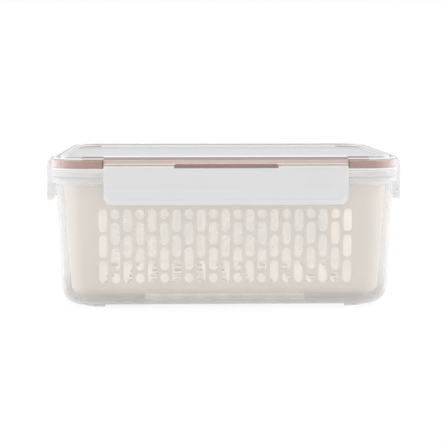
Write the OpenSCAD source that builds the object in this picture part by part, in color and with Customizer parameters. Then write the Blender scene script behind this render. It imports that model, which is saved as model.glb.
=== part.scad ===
// Fridge storage box: a clear outer box, a slotted drain basket standing in it, a soft
// sealing ring, and a lid with a latch flap on a thin moulded hinge along each side.
//
// Every outline is a rounded rectangle about the same four corner centres. The section of
// a wall is drawn once, as [distance out from the corner centre, height], and swept round.
// Latches and their flanges are drawn as [distance out from the lid's rim, height].

/* [Overall] */
// Width over the closed side latches
overall_w = 300; // [250:1:360]
// Depth over the closed front and back latches
overall_d = 230; // [200:1:280]
// Height from the feet to the top of the lid
overall_h = 127; // [105:1:170]
// Corner radius of the lid's rim, seen from above
corner_r = 29; // [28:0.5:36]

/* [Box] */
// Thickness of the box wall
box_wall = 2.2; // [1.8:0.1:2.6]
// Thickness of the box floor
box_floor_t = 2.2; // [1.6:0.1:3]
// Lean of the box wall from upright, in degrees
box_draft = 2.3; // [1:0.1:4]
// Outer radius between the box floor and its wall
box_edge_r = 16; // [8:0.5:17]
// Gap between the box wall and the skirt that hangs outside it
skirt_gap = 1.9; // [1.5:0.1:2.2]
// Thickness of the skirt
skirt_t = 1.8; // [1.4:0.1:2.2]
// Height of the skirt, from its ledge to its lower edge
skirt_h = 10.7; // [9:0.1:13]
// Thickness of the ledge that carries the skirt
ledge_t = 1.8; // [1.2:0.1:2.4]
// Depth of the groove round the skirt
groove_d = 0.6; // [0.2:0.1:0.9]
// Height of the groove round the skirt
groove_h = 3.7; // [2:0.1:4.5]
// Height of the bead under the groove
bead_h = 2; // [1.2:0.1:2.8]
// Height of the rim above the ledge
rim_rise = 3.2; // [2.4:0.1:4]
// Height of the feet
foot_h = 2; // [1:0.1:3]
// Width of a foot's rib
foot_w = 4; // [3:0.5:6]
// Outer radius of a curved corner foot
foot_r = 18; // [12:1:24]
// Distance of the feet inside the lid's rim
foot_inset = 23.5; // [23:0.5:36]

/* [Lid] */
// Thickness of the lid's rim and sloping shoulder
lid_wall = 1.5; // [1.2:0.1:1.8]
// Thickness of the sunk middle panel
panel_t = 1.8; // [1.2:0.1:2.4]
// Depth of the panel below the top of the rim
panel_sink = 3; // [1.8:0.1:3.4]
// Width of the flat ring round the top
top_ring_w = 3.8; // [3:0.1:5]
// Width of the sloping shoulder
shoulder_w = 6; // [5:0.1:6.6]
// Drop of the sloping shoulder
shoulder_drop = 3.2; // [2.4:0.1:4]
// Thickness of the inner wall beside the sealing ring
plug_t = 1.7; // [1.3:0.1:2]
// Reach of the inner wall below the underside of the panel
plug_reach = 8; // [6:0.1:9]
// Gap between the lid's rim and the box's ledge
rim_gap = 0.3; // [0.2:0.05:0.6]

/* [Sealing ring] */
// Height of the ring above the box's rim
seal_h = 7; // [6:0.1:8]
// Overhang of the ring's lips over the box's rim
seal_lip = 1.1; // [0.6:0.1:1.6]
// Gap between the ring and what it lies beside
seal_fit = 0.15; // [0.1:0.05:0.3]

/* [Latches] */
// Distance that the latch tips stand out from the lid's rim
latch_reach = 6; // [5.5:0.1:7]
// Width of the front and back latches
latch_long_w = 198; // [150:1:200]
// Width of the side latches
latch_short_w = 130; // [100:1:134]
// Height of a latch, from its hinge to its lower edge
latch_h = 32.8; // [28:0.2:40]
// Thickness of the latch plate
latch_t = 1.8; // [1.4:0.1:2]
// Radius of the latch's lower corners
latch_corner_r = 8; // [4:0.5:10]
// Thickness of the wall round the latch's edge
latch_edge_t = 2; // [1.5:0.1:3]
// Outward flare of the latch's lower edge
latch_flare = 0.7; // [0.3:0.1:1]
// Width of the flat border round the sunk outer face
border_w = 2.9; // [2:0.1:4]
// Height of the flat border along the lower edge
border_low_h = 4.4; // [3:0.1:6]
// Depth of the sunk outer face
face_sink = 0.4; // [0.2:0.05:0.6]
// Height of the sloping head between the hinge line and the latch's full thickness
head_h = 5; // [3:0.1:6]
// Height of the hook rib at its root
hook_h = 3.9; // [3:0.1:5]
// Gap between the closed hook and the skirt above it
hook_gap = 0.3; // [0.2:0.05:0.5]
// Gap between the closed latch and the box beside it
latch_gap = 0.7; // [0.4:0.05:0.8]
// Width of the opening between the front and back hinges
window_long_w = 85; // [60:1:110]
// Width of the opening between the side hinges
window_short_w = 56; // [40:1:70]
// Height of that opening
window_h = 2.8; // [2:0.1:3.4]
// Depth of the opening's lower edge below the hinge line
window_drop = 1.8; // [1.2:0.1:2.2]

/* [Hinges] */
// Depth of the hinge line below the top of the lid
hinge_drop = 6.8; // [6.4:0.1:7.4]
// Depth of the hinge line behind the latch's face
hinge_set = 0.9; // [0.8:0.05:1.1]
// Radius of the round bead along the hinge line
bead_r = 0.7; // [0.5:0.05:0.75]
// Running gap round the bead
bead_gap = 0.05; // [0.03:0.01:0.1]
// Distance of the beads' ends from the latch's ends and from the opening
bead_end = 1; // [0.5:0.1:2]
// Depth of the flange's top below the top of the lid
flange_drop = 1.9; // [1.5:0.1:2.4]
// Thickness of the flange
flange_t = 1.6; // [1.2:0.1:2]
// Distance of the flange's top edge outside the lid's rim
flange_edge_g = 1.3; // [0.8:0.1:2]
// Radius along the flange's top edge
flange_edge_r = 2.4; // [1.5:0.1:2.5]

/* [Basket] */
// Thickness of the basket's wall and floor
basket_wall = 1.8; // [1.4:0.1:2.4]
// Lean of the basket wall from upright, in degrees
basket_draft = 3.7; // [1:0.1:4.5]
// Outer radius between the basket floor and its wall
basket_edge_r = 5.5; // [4:0.5:12]
// Space for water between the box floor and the basket floor
drain_h = 7.3; // [5:0.1:12]
// Depth of the basket's top edge below the box's rim
basket_drop = 11.5; // [10:0.5:20]
// Gap between the basket's lip and the box
basket_gap = 1.7; // [1:0.1:3]
// Width of the basket's lip
lip_w = 2.1; // [1.5:0.1:3]
// Thickness of the basket's lip
lip_t = 2; // [1.4:0.1:3]
// Length of each basket foot beside its corner, along the long sides
foot_run_long = 48; // [20:1:70]
// Length of each basket foot beside its corner, along the short sides
foot_run_short = 36; // [20:1:50]

/* [Slots] */
// Width of a wall slot
slot_w = 7; // [4:0.1:8]
// Height of a wall slot
slot_h = 18.8; // [12:0.1:24]
// Solid strip between one slot and the next above it
slot_bridge = 2.7; // [2:0.1:5]
// Distance between columns of slots
slot_pitch = 10.1; // [9:0.1:14]
// Solid strip below the lowest slots, above the basket floor
slot_foot = 9.7; // [8:0.1:16]
// Solid strip above the highest slots, below the basket's top edge
slot_head = 24; // [8:0.5:32]
// Length of a floor slot
floor_slot_l = 26; // [16:1:40]
// Solid strip between floor slots
floor_bridge = 6; // [4:0.5:12]

/* [Hidden] */
$fn = 72;

clear_color = [0.90, 0.93, 0.96, 0.35];
frost_color = [0.88, 0.90, 0.92, 0.6];
cream_color = [0.93, 0.89, 0.82];
seal_color = [0.77, 0.60, 0.55];

// Plan sizes: the lid's rim, and the corner centres that every outline shares
rim_w = overall_w - 2 * latch_reach;
rim_d = overall_d - 2 * latch_reach;
centre_x = rim_w / 2 - corner_r;
centre_y = rim_d / 2 - corner_r;

// Heights of the closed stack: box rim, sealing ring, lid
channel_z = overall_h - lid_wall;
rim_z = channel_z - seal_h;
ledge_z = rim_z - rim_rise;
skirt_z = ledge_z - skirt_h;
floor_z = foot_h + box_floor_t;

// The box's outlines, as distances out from the corner centre
skirt_in_r = corner_r - skirt_t;
wall_out_r = skirt_in_r - skirt_gap;
wall_in_r = wall_out_r - box_wall;
box_base_r = wall_out_r - (skirt_z - foot_h) * tan(box_draft);
small_r = 0.5;
seat_gap = 0.2;

// The lid's outlines
lid_in_r = corner_r - lid_wall;
top_out_r = corner_r - shoulder_w;
top_in_r = top_out_r - top_ring_w;
plug_out_r = top_in_r + plug_t;
panel_z = overall_h - panel_sink;
panel_low_z = panel_z - panel_t;
plug_z = panel_low_z - plug_reach;
shoulder_z = overall_h - shoulder_drop;
lid_low_z = ledge_z + rim_gap;

// The basket's outlines
basket_top_z = rim_z - basket_drop;
basket_low_z = floor_z + drain_h;
basket_top_r = wall_in_r - basket_gap - lip_w;
basket_base_r = basket_top_r - (basket_top_z - basket_low_z) * tan(basket_draft);
basket_foot_r = box_base_r - box_edge_r * tan(45 - box_draft / 2) - seat_gap;
slot_low_z = basket_low_z + slot_foot;
slot_high_z = basket_top_z - slot_head;

// The latch's sections, as distances out from the lid's rim
face_g = latch_reach - latch_flare;
back_g = face_g - latch_t;
hinge_g = face_g - hinge_set;
hinge_z = overall_h - hinge_drop;
latch_z = hinge_z - latch_h;
flange_z = overall_h - flange_drop;
head_z = hinge_z - head_h;
flange_rise = 0.3;
neck_drop = 0.4;
hook_z = skirt_z - hook_gap;
hook_g = -skirt_t + seat_gap;
edge_g = -(skirt_t + skirt_gap) + latch_gap;
side_gap = 0.5;
window_low_z = hinge_z - window_drop;
// How far a cutting shape runs past what it cuts
spare = 1;

function unit(v) = v / norm(v);

// The arc that rounds corner p between its neighbours a and b, as n + 1 points
function fillet(a, p, b, n) =
    let (
        corner = [p.x, p.y],
        u = unit([a.x, a.y] - corner),
        v = unit([b.x, b.y] - corner),
        half = acos(u * v) / 2,
        centre = corner + unit(u + v) * p.z / sin(half),
        from = corner + u * p.z / tan(half) - centre,
        to = corner + v * p.z / tan(half) - centre,
        sweep = 180 - 2 * half
    )
    [for (k = [0 : n]) centre + (from * sin((1 - k / n) * sweep) + to * sin(k / n * sweep)) / sin(sweep)];

// A closed outline from corners given as [x, y, rounding radius]
function rounded(corners, n = 4) =
    let (count = len(corners))
    [for (i = [0 : count - 1])
        let (p = corners[i])
        each p.z > 0
            ? fillet(corners[(i + count - 1) % count], p, corners[(i + 1) % count], n)
            : [[p.x, p.y]]];

// Sweeps a wall section round the whole outline
module swept() {
    for (k = [0 : 3]) {
        side_x = (k == 0 || k == 3) ? centre_x : -centre_x;
        side_y = k < 2 ? centre_y : -centre_y;
        translate([side_x, side_y, 0]) rotate([0, 0, 90 * k]) rotate_extrude(angle = 90) children();
        out = k % 2 == 0 ? centre_x : centre_y;
        run = k % 2 == 0 ? centre_y : centre_x;
        rotate([0, 0, 90 * k]) translate([out, 0, 0]) rotate([90, 0, 0])
            linear_extrude(height = 2 * run, center = true) children();
    }
}

// The flat middle between the corner centres
module middle(z, thickness) {
    translate([-centre_x, -centre_y, z]) cube([2 * centre_x, 2 * centre_y, thickness]);
}

// Turns a front-facing child to one of the four sides: front, left, back, right
module on_side(k) {
    rotate([0, 0, -90 * k]) translate([0, -(k % 2 == 0 ? rim_d : rim_w) / 2, 0]) children();
}

// Runs a section drawn as [distance out, height] along a side
module along(width) {
    rotate([90, 0, -90]) linear_extrude(height = width, center = true) children();
}

// Pushes a face drawn as [along the side, height] outwards, from one distance to another
module outward(from, to) {
    translate([0, -from, 0]) rotate([90, 0, 0]) linear_extrude(height = to - from) children();
}

// The outer box

module box_section() {
    step_z = skirt_z + bead_h;
    polygon(rounded([
        [0, foot_h, 0],
        [box_base_r, foot_h, box_edge_r],
        [wall_out_r, skirt_z, 0],
        [wall_out_r, ledge_z - ledge_t, small_r],
        [skirt_in_r, ledge_z - ledge_t, small_r],
        [skirt_in_r, skirt_z, 0],
        [corner_r, skirt_z, small_r],
        [corner_r, step_z, small_r / 2],
        [corner_r - groove_d, step_z, small_r / 2],
        [corner_r - groove_d, step_z + groove_h, small_r / 2],
        [corner_r, step_z + groove_h, small_r / 2],
        [corner_r, ledge_z, small_r],
        [wall_out_r, ledge_z, small_r],
        [wall_out_r, rim_z, small_r],
        [wall_in_r, rim_z, small_r],
        [wall_in_r, skirt_z, 0],
        [box_base_r - box_wall + box_floor_t * tan(box_draft), floor_z, box_edge_r - box_wall],
        [0, floor_z, 0]
    ], 6));
}

module foot() {
    bend_x = rim_w / 2 - foot_inset - foot_r;
    bend_y = rim_d / 2 - foot_inset - foot_r;
    translate([bend_x, bend_y, 0]) {
        rotate_extrude(angle = 90) translate([foot_r - foot_w, 0]) square([foot_w, floor_z - small_r]);
        for (a = [0, 90]) rotate([0, 0, a]) translate([foot_r - foot_w / 2, 0, 0])
            cylinder(d = foot_w, h = floor_z - small_r);
    }
}

module box() color(clear_color) {
    swept() box_section();
    middle(foot_h, box_floor_t);
    for (mx = [0, 1], my = [0, 1]) mirror([mx, 0, 0]) mirror([0, my, 0]) foot();
}

// The drain basket

module basket_section() {
    polygon(rounded([
        [0, basket_low_z, 0],
        [basket_base_r, basket_low_z, basket_edge_r],
        [basket_top_r - lip_t * tan(basket_draft), basket_top_z - lip_t, small_r],
        [basket_top_r + lip_w, basket_top_z - lip_t, small_r],
        [basket_top_r + lip_w, basket_top_z, small_r],
        [basket_top_r - basket_wall, basket_top_z, small_r],
        [basket_base_r - basket_wall + basket_wall * tan(basket_draft),
            basket_low_z + basket_wall, basket_edge_r - basket_wall],
        [0, basket_low_z + basket_wall, 0]
    ], 6));
}

module stadium(width, length) {
    bend = (length - width) / 2;
    square([width, 2 * bend], center = true);
    for (end = [-bend, bend]) translate([0, end]) circle(d = width, $fn = 24);
}

// Slots of one column: full slots, shifted by half a step on every second column and
// cut short where they meet the top and bottom lines
module slot_column(shift) {
    step = slot_h + slot_bridge;
    for (n = [-1 : ceil((slot_high_z - slot_low_z) / step)]) {
        low = max(slot_low_z, slot_low_z + (n + shift) * step);
        high = min(slot_high_z, slot_low_z + (n + shift) * step + slot_h);
        if (high - low > slot_w + small_r)
            translate([0, (low + high) / 2]) stadium(slot_w, high - low);
    }
}

module wall_slots(half_run) {
    reach = floor((half_run - slot_w / 2) / slot_pitch);
    for (c = [-reach : reach])
        translate([c * slot_pitch, 0]) slot_column(c % 2 == 0 ? 0 : 0.5);
}

module side_slots(k) {
    inner = (k % 2 == 0 ? centre_y : centre_x) + basket_base_r - basket_edge_r;
    outer = (k % 2 == 0 ? centre_y : centre_x) + basket_top_r + small_r;
    rotate([0, 0, -90 * k]) outward(inner, outer) wall_slots((k % 2 == 0 ? centre_x : centre_y) - slot_pitch);
}

module floor_slots() {
    rows = floor((centre_y + slot_w) / (floor_slot_l + floor_bridge) - 0.5);
    reach = floor((centre_x - slot_w) / (2 * slot_pitch));
    translate([0, 0, basket_low_z - small_r]) linear_extrude(height = basket_wall + 2 * small_r)
        for (c = [-reach : reach], r = [-rows : rows])
            translate([2 * c * slot_pitch, r * (floor_slot_l + floor_bridge)]) stadium(slot_w, floor_slot_l);
}

// The standing ring under the floor, open along the middle of each side
module basket_feet() {
    top_z = basket_low_z + basket_wall / 2;
    difference() {
        swept() translate([basket_foot_r - basket_wall, floor_z]) square([basket_wall, top_z - floor_z]);
        translate([-centre_x + foot_run_long, -rim_d / 2, floor_z - small_r])
            cube([2 * (centre_x - foot_run_long), rim_d, drain_h + small_r]);
        translate([-rim_w / 2, -centre_y + foot_run_short, floor_z - small_r])
            cube([rim_w, 2 * (centre_y - foot_run_short), drain_h + small_r]);
    }
}

module basket() color(cream_color) {
    difference() {
        union() {
            swept() basket_section();
            middle(basket_low_z, basket_wall);
        }
        for (k = [0 : 3]) side_slots(k);
        floor_slots();
    }
    basket_feet();
}

// The sealing ring: it fills the lid's channel and straddles the box's rim

module gasket() color(seal_color) {
    in_r = plug_out_r + seal_fit;
    out_r = lid_in_r - seal_fit;
    slope = shoulder_drop / shoulder_w;
    swept() polygon(rounded([
        [in_r, rim_z - seal_lip, small_r],
        [wall_in_r - seal_fit, rim_z - seal_lip, small_r / 2],
        [wall_in_r - seal_fit, rim_z, 0],
        [wall_out_r + seal_fit, rim_z, 0],
        [wall_out_r + seal_fit, rim_z - seal_lip, small_r / 2],
        [out_r, rim_z - seal_lip, small_r],
        [out_r, channel_z - (out_r - top_out_r) * slope - seal_fit, small_r],
        [top_out_r, channel_z - seal_fit, 0],
        [top_out_r - seal_fit, channel_z, 0],
        [in_r, channel_z, small_r]
    ]));
}

// The lid

module lid_section() {
    slope = shoulder_drop / shoulder_w;
    polygon(rounded([
        [0, panel_low_z, 0],
        [top_in_r, panel_low_z, small_r],
        [top_in_r, plug_z, small_r],
        [plug_out_r, plug_z, small_r],
        [plug_out_r, channel_z, 0],
        [top_out_r, channel_z, 0],
        [lid_in_r, channel_z - (lid_in_r - top_out_r) * slope, small_r],
        [lid_in_r, lid_low_z, 0],
        [corner_r, lid_low_z, small_r],
        [corner_r, shoulder_z, 2 * small_r],
        [top_out_r, overall_h, 2 * small_r],
        [top_in_r, overall_h, small_r],
        [top_in_r, panel_z, small_r],
        [0, panel_z, 0]
    ]));
}

// The flange that carries a latch: a plate that leans out and down to the hinge line
module flange_section(closed) {
    low_z = hinge_z + flange_rise;
    low_g = hinge_g + seat_gap / 2;
    root_g = -lid_wall / 2;
    face = unit([low_g - flange_edge_g, low_z - flange_z]);
    under_z = flange_z - flange_t;
    // The inner face lies one thickness behind the outer one
    low_in_g = low_g + flange_t / face.y;
    under_g = low_in_g + (under_z - low_z) * face.x / face.y;
    polygon(rounded(concat(
        [[root_g, flange_z, 0], [flange_edge_g, flange_z, flange_edge_r], [low_g, low_z, 0]],
        closed
            ? [[root_g, low_z, 0]]
            : [[low_in_g, low_z, 0], [under_g, under_z, small_r], [root_g, under_z, 0]]
    )));
}

module flange(width, window) {
    difference() {
        union() {
            along(width) flange_section(false);
            for (end = [-1, 1]) translate([end * (width - latch_edge_t) / 2, 0, 0])
                along(latch_edge_t) flange_section(true);
        }
        rotate([0, 90, 0]) translate([-hinge_z, -hinge_g, 0])
            cylinder(r = bead_r + bead_gap, h = 2 * width, center = true);
        window_cut(window);
    }
}

// The opening between a latch's two hinges, with slanted ends
module window_cut(window) {
    high_z = window_low_z + window_h;
    outward(side_gap, latch_reach + spare) polygon([
        [-window / 2, window_low_z], [window / 2, window_low_z],
        [window / 2 - window_h / 2, high_z], [-window / 2 + window_h / 2, high_z]
    ]);
}

module lid() color(clear_color) {
    swept() lid_section();
    middle(panel_low_z, panel_t);
    for (k = [0 : 3]) on_side(k)
        if (k % 2 == 0) flange(latch_long_w, window_long_w);
        else flange(latch_short_w, window_short_w);
}

// A latch: a shallow pan hung on its bead, with a hook rib that catches under the skirt

module latch_section() {
    neck_z = hinge_z - neck_drop;
    flare_z = latch_z + 2 * border_low_h;
    polygon(rounded([
        [back_g, neck_z, 0],
        [hinge_g + hinge_set * neck_drop / head_h, neck_z, 0],
        [face_g, head_z, small_r],
        [face_g, flare_z, 0],
        [latch_reach, latch_z + latch_edge_t, 0],
        [latch_reach, latch_z, small_r],
        [back_g - 2 * small_r, latch_z, small_r],
        [back_g - 2 * small_r, latch_z + latch_edge_t, small_r],
        [edge_g, latch_z + latch_edge_t + (back_g - 2 * small_r - edge_g), small_r],
        [edge_g, hook_z, small_r],
        [side_gap, hook_z, 0],
        [side_gap, neck_z - (back_g - side_gap), small_r]
    ]));
}

module latch_outline(width, inset, low, corner) {
    half = width / 2 - inset;
    polygon(rounded([
        [-half, latch_z + low, corner], [half, latch_z + low, corner],
        [half, hinge_z + spare, 0], [-half, hinge_z + spare, 0]
    ], 8));
}

module hook(width) {
    along(width) polygon([
        [back_g + small_r, hook_z],
        [hook_g + small_r, hook_z],
        [hook_g, hook_z - small_r],
        [hook_g, hook_z - hook_h / 3],
        [hook_g + hook_h / 2, hook_z - hook_h],
        [back_g + small_r, hook_z - hook_h]
    ]);
}

module latch(width, window) {
    difference() {
        intersection() {
            along(width) latch_section();
            outward(edge_g - spare, latch_reach + spare) latch_outline(width, 0, 0, latch_corner_r);
        }
        outward(edge_g - 2 * spare, back_g)
            latch_outline(width, latch_edge_t, latch_edge_t, latch_corner_r - latch_edge_t);
        outward(face_g - face_sink, latch_reach + spare)
            latch_outline(width, border_w, border_low_h, latch_corner_r - border_w);
        window_cut(window);
    }
    hook(width - latch_edge_t);
    bead_l = (width - window) / 2 - 2 * bead_end;
    for (end = [-1, 1]) rotate([0, 90, 0])
        translate([-hinge_z, -hinge_g, end * (window / 2 + bead_end + bead_l / 2)])
            cylinder(r = bead_r, h = bead_l, center = true);
}

module latch_front() color(frost_color) on_side(0) latch(latch_long_w, window_long_w);
module latch_left() color(frost_color) on_side(1) latch(latch_short_w, window_short_w);
module latch_back() color(frost_color) on_side(2) latch(latch_long_w, window_long_w);
module latch_right() color(frost_color) on_side(3) latch(latch_short_w, window_short_w);

box();
basket();
gasket();
lid();
latch_front();
latch_left();
latch_back();
latch_right();
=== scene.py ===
import math

import bmesh
import bpy
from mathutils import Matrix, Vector


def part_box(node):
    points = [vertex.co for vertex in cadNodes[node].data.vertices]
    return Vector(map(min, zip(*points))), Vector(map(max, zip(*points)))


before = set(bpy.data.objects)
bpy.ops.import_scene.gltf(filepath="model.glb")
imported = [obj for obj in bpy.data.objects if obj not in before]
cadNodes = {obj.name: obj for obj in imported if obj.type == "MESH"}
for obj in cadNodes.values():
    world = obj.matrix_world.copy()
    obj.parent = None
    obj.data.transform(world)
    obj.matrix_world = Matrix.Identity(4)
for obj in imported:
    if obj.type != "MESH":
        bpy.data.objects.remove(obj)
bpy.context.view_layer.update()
scene = bpy.context.scene

# Lengths on the pieces are given in mm, and those of the studio in metres
mm = 0.001


# Camera: placed by matching the lid's corners, the latch and the feet in the photograph
camera = {
    "place": (-0.0344, -1.1178, 0.1881),
    "down": 6.54,       # degrees below level
    "right": 1.83,      # degrees turned to the right
    "focalPx": 1247.6,  # focal length in pixels of the 447 px wide frame
    "framePx": 447,
    "sensor": 36.0,
}


def makeCamera():
    data = bpy.data.cameras.new("camera")
    data.sensor_width = camera["sensor"]
    data.lens = camera["focalPx"] / camera["framePx"] * camera["sensor"]
    eye = bpy.data.objects.new("camera", data)
    eye.location = camera["place"]
    eye.rotation_euler = (math.radians(90 - camera["down"]), 0, math.radians(-camera["right"]))
    scene.collection.objects.link(eye)
    scene.camera = eye
    print("camera in place")


# Shader maths: a wire is a socket that can be added, multiplied and so on
class Wire:
    def __init__(self, tree, socket):
        self.tree = tree
        self.socket = socket

    def maths(self, operation, first, second):
        node = self.tree.nodes.new("ShaderNodeMath")
        node.operation = operation
        for socket, value in zip(node.inputs, (first, second)):
            if isinstance(value, Wire):
                self.tree.links.new(value.socket, socket)
            else:
                socket.default_value = value
        return Wire(self.tree, node.outputs[0])

    def __add__(self, other):
        return self.maths("ADD", self, other)

    def __radd__(self, other):
        return self.maths("ADD", other, self)

    def __sub__(self, other):
        return self.maths("SUBTRACT", self, other)

    def __rsub__(self, other):
        return self.maths("SUBTRACT", other, self)

    def __mul__(self, other):
        return self.maths("MULTIPLY", self, other)

    def __rmul__(self, other):
        return self.maths("MULTIPLY", other, self)

    def __truediv__(self, other):
        return self.maths("DIVIDE", self, other)

    def __rtruediv__(self, other):
        return self.maths("DIVIDE", other, self)

    def __pow__(self, other):
        return self.maths("POWER", self, other)

    def highest(self, other):
        return self.maths("MAXIMUM", self, other)

    def size(self):
        return self.maths("ABSOLUTE", self, 0.0)

    # 0 at start and before, 1 at end and beyond, smooth between; end may be the lower one
    def ramp(self, start, end):
        node = self.tree.nodes.new("ShaderNodeMapRange")
        node.interpolation_type = "SMOOTHSTEP"
        self.tree.links.new(self.socket, node.inputs["Value"])
        node.inputs["From Min"].default_value = start
        node.inputs["From Max"].default_value = end
        return Wire(self.tree, node.outputs[0])

    def part(self, axis):
        node = self.tree.nodes.new("ShaderNodeSeparateXYZ")
        self.tree.links.new(self.socket, node.inputs[0])
        return Wire(self.tree, node.outputs[axis])


# The nodes of a material, or of the world
class Finish:
    def __init__(self, owner):
        owner.use_nodes = True
        self.owner = owner
        self.tree = owner.node_tree
        self.tree.nodes.clear()

    # One node: its settings first, then values or wires by socket name or number
    def node(self, kind, settings=None, sockets=None, out=0):
        node = self.tree.nodes.new("ShaderNode" + kind)
        for name, value in (settings or {}).items():
            setattr(node, name, value)
        for name, value in (sockets or {}).items():
            if isinstance(value, Wire):
                self.tree.links.new(value.socket, node.inputs[name])
            else:
                node.inputs[name].default_value = value
        return Wire(self.tree, node.outputs[out]) if len(node.outputs) else node

    def place(self):
        return self.node("TexCoord", out="Object")

    def noise(self, size, detail=2.0):
        return self.node("TexNoise", sockets={
            "Vector": self.place(), "Scale": 1 / (size * mm), "Detail": detail})

    def mix(self, factor, first, second):
        return self.node("Mix", {"data_type": "RGBA"}, {0: factor, 6: first, 7: second}, out=2)

    def bump(self, height, strength, depth):
        return self.node("Bump", sockets={
            "Height": height, "Strength": strength, "Distance": depth * mm})

    def surface(self, shader):
        self.node("OutputMaterial", sockets={"Surface": shader})
        return self.owner


def rgb(red, green, blue):
    # Screen values of 0 to 255 to the linear colours that the shaders take
    def linear(value):
        part = value / 255
        return part / 12.92 if part <= 0.04045 else ((part + 0.055) / 1.055) ** 2.4
    return (linear(red), linear(green), linear(blue), 1.0)


# A band of a piece that is milkier or clearer than the rest of it, between two heights over the
# piece's lower edge, with its own colour, which in many bands is painted shade or a painted
# highlight. It may keep to one part of the piece, and it fades out over a soft width
def bandUp(low, high, body, colour, on=None, soft=0.2):
    return {"edge": 0, "low": low, "high": high, "body": body, "colour": rgb(*colour),
            "on": on, "soft": soft}


# The same between two depths under the piece's upper edge
def bandDown(high, low, body, colour, on=None, soft=0.2):
    return {**bandUp(-low, -high, body, colour, on, soft), "edge": 1}


# Clear plastic: see-through where it faces the eye, milky where it turns away
clearBox = {
    "body": 0.08, "edge": 0.65, "power": 2.6, "colour": rgb(237, 238, 240),
    "shade": 0.1, "rough": 0.2, "sheen": 0.3, "grainSize": 2.0,
    "bands": [
        # Milkier lower edge; its grey is painted shade of the drain space under the basket
        bandUp(-10, 9, 0.28, (219, 219, 221), soft=6),
        bandDown(2.5, 13.9, 0.35, (231, 231, 232), soft=2),
        # Painted shade: a dark line in the groove of the box's skirt
        bandDown(8.7, 9.7, 0.4, (212, 212, 213), soft=0.6),
        # Painted light: a milkier, light band over the shaded gap under the lid's rim
        bandDown(1.0, 3.9, 0.7, (240, 240, 241), soft=0.3),
        # Painted light: the flat floor milky and near white, over the shade under the basket
        bandUp(-10, 6, 0.6, (250, 248, 245), "floor", soft=0.3),
    ],
}
clearLid = {
    "body": 0.08, "edge": 0.85, "power": 1.6, "colour": rgb(246, 244, 244),
    "shade": 0.1, "rough": 0.3, "sheen": 0.2, "grainSize": 2.0,
    "bands": [
        # Lid's lower edge: two lines of painted light, then pinkish painted shade under the gasket
        bandDown(10.8, 12.0, 0.8, (247, 246, 245), soft=0.3),
        bandDown(10.0, 10.7, 0.85, (245, 239, 237)),
        bandDown(9.5, 9.9, 0.5, (208, 192, 188)),
        # Rim's shoulder: painted shade of the gasket showing through, a painted highlight, a painted
        # dark edge line
        bandDown(2.5, 3.2, 0.75, (146, 130, 122), "rim"),
        bandDown(1.7, 2.2, 0.85, (232, 223, 220), "rim"),
        bandDown(0.5, 1.4, 0.9, (134, 125, 123), "rim"),
        bandDown(-1, 0.2, 0.8, (214, 209, 207), "rim"),
        # Tabs: painted shade of the gasket showing through, and a painted highlight along the top edge
        bandDown(0.9, 2.6, 0.78, (156, 143, 140), "tab"),
        bandDown(-1, 0.6, 0.8, (238, 231, 230), "tab"),
        # Bend: painted shade of the gasket showing through, a painted highlight, a painted dark edge
        # line
        bandDown(2.7, 3.2, 0.6, (184, 170, 165), "bend"),
        bandDown(1.7, 2.4, 0.85, (230, 227, 225), "bend"),
        bandDown(0.5, 1.5, 0.85, (172, 172, 172), "bend"),
        bandDown(-1, 0.3, 0.85, (203, 204, 205), "bend"),
        bandDown(0.4, 3.2, 0.85, (230, 230, 231), "side"),
        bandDown(-1, 0.3, 0.85, (190, 191, 192), "side"),
        # Painted dark edge line along the brink of the short sides
        bandDown(-1, 0.4, 0.95, (146, 146, 145), "brink"),
        bandDown(3.0, 9.4, 0.6, (122, 105, 97), "step"),
        bandDown(2.7, 5.7, 0.32, (232, 220, 215), "flange"),
        # Painted highlight along the flange's lower edge
        bandDown(5.8, 6.5, 0.75, (248, 240, 237), "flange"),
        bandDown(-3, 7.0, 0.88, (236, 232, 232), "end"),
        bandDown(2.8, 7.0, 0.25, (188, 189, 191), "panel", soft=0.1),
        bandDown(1.3, 2.8, 0.85, (222, 223, 222), "panel"),
        bandDown(1.3, 2.8, 0.95, (254, 254, 253), "long"),
        bandDown(-1, 0.9, 0.9, (216, 217, 213), "panel"),
        # Painted shade: a darker pinkish line where the panel's corners meet the rim's wall
        bandDown(2.3, 2.9, 0.8, (188, 180, 177), "corner"),
    ],
}
frostedLatch = {
    "body": 0.8, "edge": 0.5, "power": 2.0, "colour": rgb(234, 234, 234),
    "shade": 0.15, "rough": 0.42, "sheen": 0.3, "grainSize": 1.2,
    "bands": [
        bandUp(-1, 12.3, 0.8, (235, 236, 238), soft=0.3),
        # Painted highlight: a lighter line along the hook rib
        bandUp(12.1, 12.7, 0.8, (238, 238, 238), soft=0.3),
        bandUp(-1, 40, 0.78, (237, 237, 235), "border", soft=0.6),
        # Painted shadow: a dark line along the latch's lower edge
        bandUp(-1, 0.5, 0.8, (211, 210, 205), soft=0.3),
        # Painted highlight along the top edge of the flap
        bandDown(1.2, 2.8, 0.8, (240, 236, 234), soft=0.3),
        # Painted shade: the hinge bead and the window clearer and darker, as shade in the groove
        bandDown(-1, 1.0, 0.2, (215, 208, 206)),
        bandDown(2.3, 3.1, 0.1, (200, 195, 195), "window"),
    ],
}
# The latches at the two ends, paler in the photograph, where they are seen edge-on
# The same plastic as the other latches, made paler and clearer as painted light where it is seen
# edge-on
paintedPaleLatch = {
    "body": 0.6, "edge": 0.2, "power": 2.0, "colour": rgb(238, 238, 239),
    "shade": 0.15, "rough": 0.42, "sheen": 0.3, "grainSize": 1.2,
    "bands": [
        # Painted shade: darker towards the bottom
        bandUp(-20, 8.6, 0.6, (226, 227, 229), soft=16),
        bandUp(-1, 40, 0.6, (240, 240, 241), "border", soft=0.6),
    ],
}
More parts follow.
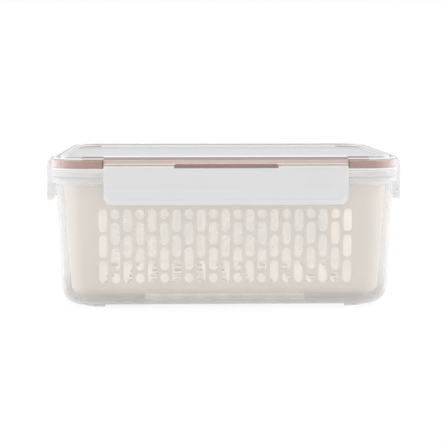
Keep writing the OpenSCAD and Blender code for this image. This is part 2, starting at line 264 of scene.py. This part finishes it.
# What the clear and frosted plastics share: clouds in their milkiness, and a faint unevenness
milky = {
    "cloudSize": 90, "cloudSpread": 0.05, "roughSpread": 0.08,
    "cloudBump": 0.3, "grainBump": 0.1, "bump": 0.04, "depth": 0.3,
}

# How far in from the box's outer faces its flat floor starts
boxParts = {"floor": 24.0, "fade": 2.0}
# Lines across the lid, measured inwards from the box's outer faces: where the flanges begin,
# where the sunk panel ends, where the brink and the bend begin, and where the panel's corners
# begin. Step is the width of the shadow beside the tabs
lidParts = {
    "flange": -0.3, "panel": 9.5, "brink": 7.8, "bend": 27.5, "cornerX": 30.0, "cornerY": 26.0,
    "step": 1.2, "fade": 0.3,
}
# A latch's plain border and the hem along its lower edge, and half the length of its window
latchParts = {"border": 2.1, "hem": 3.3, "fade": 0.6, "window": 42.2, "windowFade": 0.3}


# A mask for the box's flat floor, by its place in plan
def boxPart(finish, nodeName):
    place = finish.place()
    halfX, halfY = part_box(nodeName)[1][:2]
    start, fade = boxParts["floor"] * mm, boxParts["fade"] * mm

    def within(axis, half):
        return place.part(axis).size().ramp(half - start, half - start - fade)

    return {"floor": within("X", halfX) * within("Y", halfY)}


# Masks for parts of the lid, by their place in plan: the sunk panel, its four corners, and its
# wall along the long sides; the flanges outside the rim, and those at the two ends; the tabs
# where the long flanges join the rim, the rim beside them, and the shadow between the two; the
# rim where it bends, the lid's two short sides, and their brink
def lidPart(finish, nodeName):
    place = finish.place()
    x, y = place.part("X").size(), place.part("Y").size()
    halfX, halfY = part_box("box")[1][:2]
    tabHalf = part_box("latch_front")[1][0]

    def beyond(distance, limit):
        return distance.ramp(limit, limit + lidParts["fade"] * mm)

    def beyondX(name):
        return beyond(x, halfX - lidParts[name] * mm)

    def beyondY(name):
        return beyond(y, halfY - lidParts[name] * mm)

    outside = beyondX("panel").highest(beyondY("panel"))
    endFlange = beyondX("flange")
    flange = endFlange.highest(beyondY("flange"))
    tab = (1 - beyond(x, tabHalf)) * beyondY("panel")
    bend = beyondX("bend")
    longWall = beyondY("cornerY")
    beside = outside * (1 - tab) * (1 - flange)
    return {
        "panel": 1 - outside,
        "corner": (1 - outside) * beyondX("cornerX") * longWall,
        "long": (1 - outside) * longWall,
        "flange": flange,
        "end": endFlange,
        "tab": tab,
        "rim": beside * (1 - bend),
        "step": beside * (1 - beyond(x, tabHalf + lidParts["step"] * mm)),
        "bend": outside * (1 - flange) * bend,
        "side": outside * (1 - longWall),
        "brink": beyondX("brink"),
    }


# Masks for the border round a latch, along its two ends and its lower edge, and for the
# middle stretch where the window is
def latchPart(finish, nodeName):
    low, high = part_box(nodeName)
    axis = 0 if high[0] - low[0] > high[1] - low[1] else 1
    place = finish.place()
    across = place.part("XY"[axis]).size()
    fade = latchParts["fade"] * mm
    border = high[axis] - latchParts["border"] * mm
    hem = low[2] + latchParts["hem"] * mm
    window = latchParts["window"] * mm
    return {
        "border": across.ramp(border - fade, border).highest(place.part("Z").ramp(hem + fade, hem)),
        "window": across.ramp(window, window - latchParts["windowFade"] * mm),
    }


def milkyPlastic(name, nodeName, look, parts):
    finish = Finish(bpy.data.materials.new(name))
    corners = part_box(nodeName)
    masks = parts(finish, nodeName)
    turned = finish.node("LayerWeight", sockets={"Blend": 0.5}, out="Facing")
    cloud = finish.noise(milky["cloudSize"], 1.0)
    grain = finish.noise(look["grainSize"], 3.0)
    height = finish.place().part("Z")
    body = look["body"] + (cloud - 0.5) * milky["cloudSpread"]
    colour = look["colour"]
    for band in look["bands"]:
        edge = corners[band["edge"]][2]
        low, high, soft = edge + band["low"] * mm, edge + band["high"] * mm, band["soft"] * mm
        mask = height.ramp(low - soft, low) * height.ramp(high + soft, high)
        if band["on"]:
            mask = mask * masks[band["on"]]
        body = body + mask * (band["body"] - body)
        colour = finish.mix(mask, colour, band["colour"])
    alpha = body + (1 - body) * (turned ** look["power"]) * look["edge"]
    # Milky plastic scatters light onward, so it shades what lies behind it less than it hides it
    shading = finish.node("LightPath", out="Is Shadow Ray")
    alpha = alpha * (1 - shading * (1 - look["shade"]))
    rough = look["rough"] + (grain - 0.5) * milky["roughSpread"]
    uneven = cloud * milky["cloudBump"] + grain * milky["grainBump"]
    normal = finish.bump(uneven, milky["bump"], milky["depth"])
    return finish.surface(finish.node("BsdfPrincipled", sockets={
        "Base Color": colour, "Roughness": rough, "Alpha": alpha, "Normal": normal,
        "Specular IOR Level": look["sheen"]}))


# The basket's plastic lets light through. The faces that look inwards or up carry painted light, a
# lighter colour than the rest
creamBasket = {
    "light": rgb(239, 235, 230), "dark": rgb(235, 231, 225), "inside": rgb(248, 245, 241),
    "insideFade": 0.002, "upFrom": 0.7, "upTo": 0.9,
    "rough": 0.45, "roughSpread": 0.15, "through": 0.45, "shade": 0.75, "sheen": 0.35,
    "cloudSize": 60, "grainSize": 0.7, "bump": 0.1, "depth": 0.1,
}


def creamPlastic():
    finish = Finish(bpy.data.materials.new("creamPlastic"))
    cloud = finish.noise(creamBasket["cloudSize"])
    grain = finish.noise(creamBasket["grainSize"])
    colour = finish.mix(cloud, creamBasket["dark"], creamBasket["light"])
    # Faces that look towards the basket's middle, and those that look up, get painted light
    place = finish.place()
    facing = finish.node("TexCoord", out="Normal")
    outwards = place.part("X") * facing.part("X") + place.part("Y") * facing.part("Y")
    inside = outwards.ramp(creamBasket["insideFade"], -creamBasket["insideFade"])
    upwards = facing.part("Z").ramp(creamBasket["upFrom"], creamBasket["upTo"])
    colour = finish.mix(inside.highest(upwards), colour, creamBasket["inside"])
    rough = creamBasket["rough"] + (grain - 0.5) * creamBasket["roughSpread"]
    normal = finish.bump(grain, creamBasket["bump"], creamBasket["depth"])
    shading = finish.node("LightPath", out="Is Shadow Ray")
    skin = finish.node("BsdfPrincipled", sockets={
        "Base Color": colour, "Roughness": rough, "Normal": normal,
        "Specular IOR Level": creamBasket["sheen"],
        "Alpha": 1 - shading * (1 - creamBasket["shade"]) / (1 - creamBasket["through"])})
    glow = finish.node("BsdfTranslucent", sockets={"Color": colour})
    both = finish.node("MixShader", sockets={0: creamBasket["through"], 1: skin, 2: glow})
    return finish.surface(both)


pinkSilicone = {
    "light": rgb(196, 160, 147), "dark": rgb(187, 149, 136), "rough": 0.55, "sheen": 0.3,
    "cloudSize": 20, "grainSize": 0.4, "bump": 0.2, "depth": 0.1,
}


def softSilicone():
    finish = Finish(bpy.data.materials.new("softSilicone"))
    cloud = finish.noise(pinkSilicone["cloudSize"])
    grain = finish.noise(pinkSilicone["grainSize"])
    colour = finish.mix(cloud, pinkSilicone["dark"], pinkSilicone["light"])
    normal = finish.bump(grain, pinkSilicone["bump"], pinkSilicone["depth"])
    return finish.surface(finish.node("BsdfPrincipled", sockets={
        "Base Color": colour, "Roughness": pinkSilicone["rough"], "Normal": normal,
        "Specular IOR Level": pinkSilicone["sheen"]}))


# The backdrop is white to the eye and in reflections. The more plastic it is seen through,
# the nearer floor and backdrop come to the studio's own pale grey, with the object's shadow
stage = {
    "size": 6.0,
    "shadowKept": 0.14,   # share of the lit floor, with the shadow, in the white one
    "shadowOut": 0.7,     # how far from the object that share has faded out
    "greyFrom": 2.0,      # faces of plastic that leave the backdrop white
    "greyFull": 4.0,      # faces that turn it to the studio's grey
    "paint": (0.88, 0.88, 0.88, 1.0),
    "behind": (0.60, 0.565, 0.53, 1.0),   # the same floor, seen through the object
    "white": (1.0, 1.0, 1.0, 1.0),
    "light": (0.98, 0.985, 1.0, 1.0),
    "level": 0.64,
}


def seenWhite(finish):
    direct = finish.node("LightPath", out="Is Camera Ray")
    faces = finish.node("LightPath", out="Transparent Depth")
    bare = direct * faces.ramp(stage["greyFull"], stage["greyFrom"])
    mirrored = finish.node("LightPath", out="Is Glossy Ray")
    through = finish.node("LightPath", out="Is Transmission Ray")
    return bare.highest(mirrored).highest(through)


def floorFinish():
    finish = Finish(bpy.data.materials.new("paleFloor"))
    seen = seenWhite(finish)
    direct = finish.node("LightPath", out="Is Camera Ray")
    colour = finish.mix(direct, stage["paint"], stage["behind"])
    colour = finish.mix(seen, colour, stage["white"])
    paint = finish.node("BsdfDiffuse", sockets={"Color": colour})
    glow = finish.node("Emission", sockets={"Color": stage["white"], "Strength": 1.0})
    place = finish.place()
    spread = (place.part("X") ** 2 + place.part("Y") ** 2) ** 0.5
    bright = seen * (1 - spread.ramp(stage["shadowOut"], stage["shadowOut"] / 2) * stage["shadowKept"])
    return finish.surface(finish.node("MixShader", sockets={0: bright, 1: paint, 2: glow}))


def makeFloor():
    plate = bmesh.new()
    bmesh.ops.create_grid(plate, x_segments=1, y_segments=1, size=stage["size"])
    mesh = bpy.data.meshes.new("floor")
    plate.to_mesh(mesh)
    plate.free()
    mesh.materials.append(floorFinish())
    floor = bpy.data.objects.new("floor", mesh)
    scene.collection.objects.link(floor)
    print("floor laid")


def makeWorld():
    scene.world = bpy.data.worlds.new("studio")
    finish = Finish(scene.world)
    soft = finish.node("Background", sockets={"Color": stage["light"], "Strength": stage["level"]})
    white = finish.node("Background", sockets={"Color": stage["white"], "Strength": 1.0})
    both = finish.node("MixShader", sockets={0: seenWhite(finish), 1: soft, 2: white})
    finish.node("OutputWorld", sockets={"Surface": both})
    print("backdrop lit")


# All the lamps point at the middle of the object. Mirrored ones show in its gloss
lampAim = Vector((0, 0, 0.06))
lamps = {
    "top": {"place": (0.0, -0.2, 1.4), "size": 1.6, "watts": 9, "mirrored": True},
    "left": {"place": (-1.5, 0.0, 0.8), "size": 1.2, "watts": 11, "mirrored": False},
    "right": {"place": (1.5, 0.0, 0.8), "size": 1.2, "watts": 11, "mirrored": False},
    "back": {"place": (0.0, 1.7, 0.35), "size": 0.7, "watts": 9, "mirrored": False},
}


def makeLamps():
    for name, lamp in lamps.items():
        data = bpy.data.lights.new(name, "AREA")
        data.size = lamp["size"]
        data.energy = lamp["watts"]
        thing = bpy.data.objects.new(name, data)
        thing.visible_glossy = lamp["mirrored"]
        thing.location = lamp["place"]
        thing.rotation_euler = (lampAim - thing.location).to_track_quat("-Z", "Y").to_euler()
        scene.collection.objects.link(thing)
    print("lamps on")


def dress(nodeName, material):
    mesh = cadNodes[nodeName].data
    mesh.materials.clear()
    mesh.materials.append(material)
    print("dressed", nodeName)


makeCamera()
makeWorld()
makeLamps()
makeFloor()

dress("box", milkyPlastic("clearBox", "box", clearBox, boxPart))
dress("lid", milkyPlastic("clearLid", "lid", clearLid, lidPart))
latchLooks = {"front": frostedLatch, "left": paintedPaleLatch, "back": frostedLatch, "right": paintedPaleLatch}
for side, look in latchLooks.items():
    nodeName = "latch_" + side
    dress(nodeName, milkyPlastic("frostedLatch_" + side, nodeName, look, latchPart))
dress("basket", creamPlastic())
dress("gasket", softSilicone())

# Enough bounces for light to get about in the basket and pass every wall of the clear plastic
scene.cycles.diffuse_bounces = 10
scene.cycles.transparent_max_bounces = 32
scene.view_settings.view_transform = "Standard"
